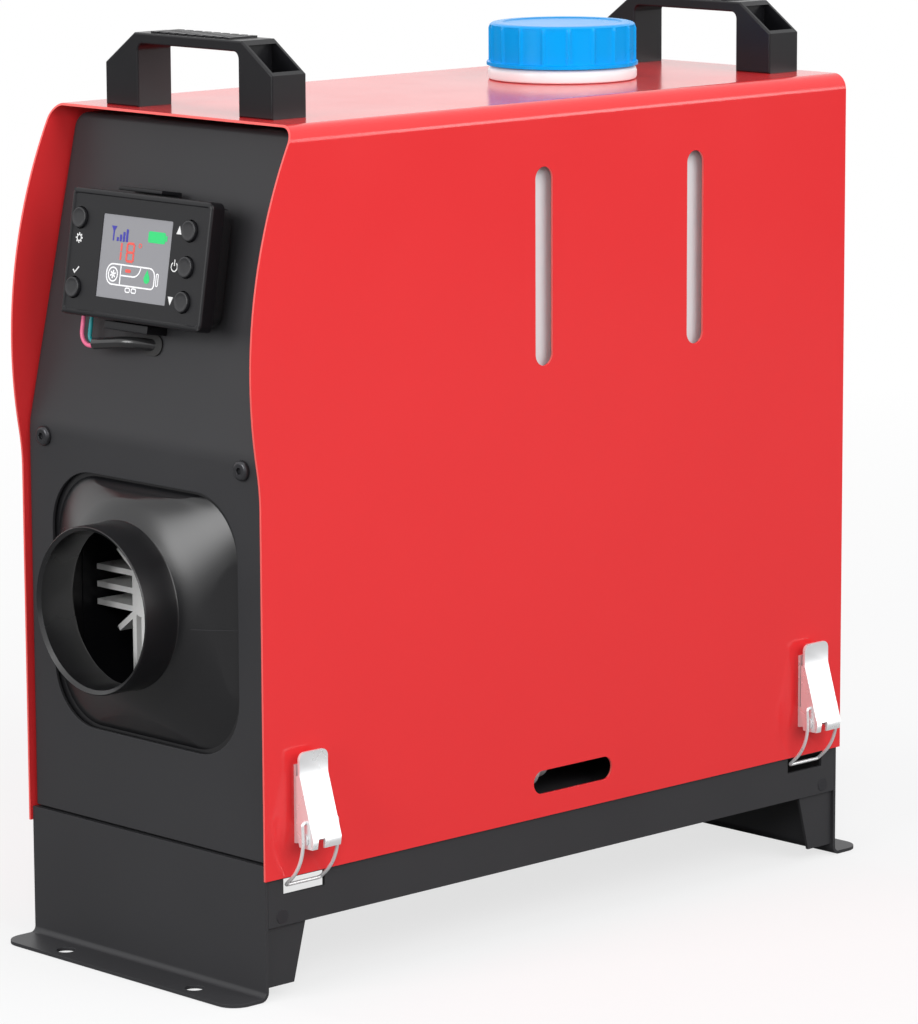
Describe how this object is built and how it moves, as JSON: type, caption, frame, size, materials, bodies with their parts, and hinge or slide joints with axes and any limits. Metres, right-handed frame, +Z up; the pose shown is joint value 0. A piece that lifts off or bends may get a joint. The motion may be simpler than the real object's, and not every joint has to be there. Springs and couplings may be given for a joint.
{
  "type": "diesel air heater",
  "caption": "All-in-one diesel air heater: sheet-metal cover over a fuel tank and heater, latched to a footed base, with a round outlet, controller, screw cap and carry handles.",
  "frame": {"origin": "on the floor, under the middle of the overall box", "axes": "+Z up, -Y is the front with the hot-air outlet, +X is the side to the right of someone facing the rear"},
  "size_m": [0.176, 0.3886, 0.3833],
  "materials": {
    "red_powder_coat": "glossy powder coat",
    "black_powder_coat": "satin powder coat",
    "black_plastic": "moulded, satin",
    "black_gloss": "moulded, glossy",
    "blue_plastic": "moulded, satin",
    "white_plastic": "moulded",
    "tank_plastic": "translucent white, blow-moulded",
    "zinc_plate": "bright zinc plate",
    "steel": "plain steel",
    "black_screw": "blackened steel",
    "cast_aluminium": "as cast and machined",
    "rubber": "matt",
    "gasket": "fibre and graphite sheet",
    "seal_rubber": "soft liner",
    "screen_glass": "liquid-crystal screen",
    "board_green": "circuit board",
    "fuel_tube": "fuel hose",
    "filter_plastic": "translucent amber white",
    "wire_pink_teal": "two coloured wire jackets",
    "ceramic": "heat-stained metal"
  },
  "bodies": {
    "case": {"base_tray": "black_powder_coat", "blower_motor": "cast_aluminium", "cable_grommets": "rubber", "combustion_chamber": "ceramic", "control_board": "board_green", "controller_back": "black_gloss", "controller_bezel": "black_plastic", "controller_bracket": "black_plastic", "controller_lead": "rubber", "display_window": "screen_glass", "exhaust_stub": "steel", "foot_rivets": "black_screw", "front_foot": "black_powder_coat", "front_handle": "black_plastic", "front_panel": "black_powder_coat", "fuel_filter": "filter_plastic", "fuel_hose": "fuel_tube", "fuel_line": "fuel_tube", "fuel_outlet": "zinc_plate", "fuel_pump": "zinc_plate", "fuel_tank": "tank_plastic", "glow_plug": "ceramic", "handle_screws": "zinc_plate", "heat_exchanger": "cast_aluminium", "heater_gasket": "gasket", "heater_lower_shell": "black_plastic", "heater_nuts": "zinc_plate", "heater_upper_shell": "black_plastic", "intake_guard": "black_plastic", "intake_stub": "steel", "latch_plates": "zinc_plate", "latch_rivets": "zinc_plate", "lead_wires": "wire_pink_teal", "outlet_adaptor": "black_plastic", "panel_screws": "black_screw", "pump_bracket": "rubber", "rear_foot": "black_powder_coat", "rear_handle": "black_plastic", "rear_panel": "black_powder_coat", "red_cover": "red_powder_coat", "tank_collar": "white_plastic", "tank_shelf": "black_powder_coat"},
    "seal": {"cap_seal": "seal_rubber"},
    "cap": {"fuel_cap": "blue_plastic"},
    "rotor": {"motor_shaft": "steel", "combustion_fan": "cast_aluminium", "air_fan": "black_plastic"},
    "button_up": {"button_up": "black_gloss"},
    "button_power": {"button_power": "black_gloss"},
    "button_down": {"button_down": "black_gloss"},
    "button_settings": {"button_settings": "black_gloss"},
    "button_ok": {"button_ok": "black_gloss"},
    "lever_right_front": {"latch_lever_right_front": "zinc_plate"},
    "bail_right_front": {"latch_bail_right_front": "zinc_plate"},
    "lever_right_rear": {"latch_lever_right_rear": "zinc_plate"},
    "bail_right_rear": {"latch_bail_right_rear": "zinc_plate"},
    "lever_left_front": {"latch_lever_left_front": "zinc_plate"},
    "bail_left_front": {"latch_bail_left_front": "zinc_plate"},
    "lever_left_rear": {"latch_lever_left_rear": "zinc_plate"},
    "bail_left_rear": {"latch_bail_left_rear": "zinc_plate"}
  },
  "joints": [
    {"name": "cap_rise", "type": "slide", "parent": "case", "child": "seal", "axis": [0, 0, 1], "range_m": [0, 0.018]},
    {"name": "cap_turn", "type": "hinge", "parent": "seal", "child": "cap", "pos_m": [0, 0.07625, 0.373], "axis": [0, 0, 1], "range_deg": [0, 1080]},
    {"name": "rotor_spin", "type": "hinge", "parent": "case", "child": "rotor", "pos_m": [0, 0.04625, 0.1495], "axis": [0, 1, 0], "continuous": true},
    {"name": "button_up", "type": "slide", "parent": "case", "child": "button_up", "axis": [0, 0.9874, -0.1585], "range_m": [0, 0.001], "stiffness_N_per_m": 250, "springref_m": -0.0004},
    {"name": "button_power", "type": "slide", "parent": "case", "child": "button_power", "axis": [0, 0.9874, -0.1585], "range_m": [0, 0.001], "stiffness_N_per_m": 250, "springref_m": -0.0004},
    {"name": "button_down", "type": "slide", "parent": "case", "child": "button_down", "axis": [0, 0.9874, -0.1585], "range_m": [0, 0.001], "stiffness_N_per_m": 250, "springref_m": -0.0004},
    {"name": "button_settings", "type": "slide", "parent": "case", "child": "button_settings", "axis": [0, 0.9874, -0.1585], "range_m": [0, 0.001], "stiffness_N_per_m": 250, "springref_m": -0.0004},
    {"name": "button_ok", "type": "slide", "parent": "case", "child": "button_ok", "axis": [0, 0.9874, -0.1585], "range_m": [0, 0.001], "stiffness_N_per_m": 250, "springref_m": -0.0004},
    {"name": "lever_right_front", "type": "hinge", "parent": "case", "child": "lever_right_front", "pos_m": [0.083, -0.14575, 0.0665], "axis": [0, 1, 0], "range_deg": [0, 100]},
    {"name": "bail_right_front", "type": "hinge", "parent": "lever_right_front", "child": "bail_right_front", "pos_m": [0.0834, -0.14575, 0.07349], "axis": [0, 1, 0], "range_deg": [-131, 0]},
    {"name": "lever_right_rear", "type": "hinge", "parent": "case", "child": "lever_right_rear", "pos_m": [0.083, 0.15525, 0.0665], "axis": [0, 1, 0], "range_deg": [0, 100]},
    {"name": "bail_right_rear", "type": "hinge", "parent": "lever_right_rear", "child": "bail_right_rear", "pos_m": [0.0834, 0.15525, 0.07349], "axis": [0, 1, 0], "range_deg": [-131, 0]},
    {"name": "lever_left_front", "type": "hinge", "parent": "case", "child": "lever_left_front", "pos_m": [-0.083, -0.14575, 0.0665], "axis": [0, -1, 0], "range_deg": [0, 100]},
    {"name": "bail_left_front", "type": "hinge", "parent": "lever_left_front", "child": "bail_left_front", "pos_m": [-0.0834, -0.14575, 0.07349], "axis": [0, -1, 0], "range_deg": [-131, 0]},
    {"name": "lever_left_rear", "type": "hinge", "parent": "case", "child": "lever_left_rear", "pos_m": [-0.083, 0.15525, 0.0665], "axis": [0, -1, 0], "range_deg": [0, 100]},
    {"name": "bail_left_rear", "type": "hinge", "parent": "lever_left_rear", "child": "bail_left_rear", "pos_m": [-0.0834, 0.15525, 0.07349], "axis": [0, -1, 0], "range_deg": [-131, 0]}
  ],
  "couplings": [
    {"joint": "cap_turn", "follows": "cap_rise", "rad_per_m": 1047.2},
    {"joint": "bail_right_front", "follows": "lever_right_front", "ratio": -1.3},
    {"joint": "bail_right_rear", "follows": "lever_right_rear", "ratio": -1.3},
    {"joint": "bail_left_front", "follows": "lever_left_front", "ratio": -1.3},
    {"joint": "bail_left_rear", "follows": "lever_left_rear", "ratio": -1.3}
  ]
}
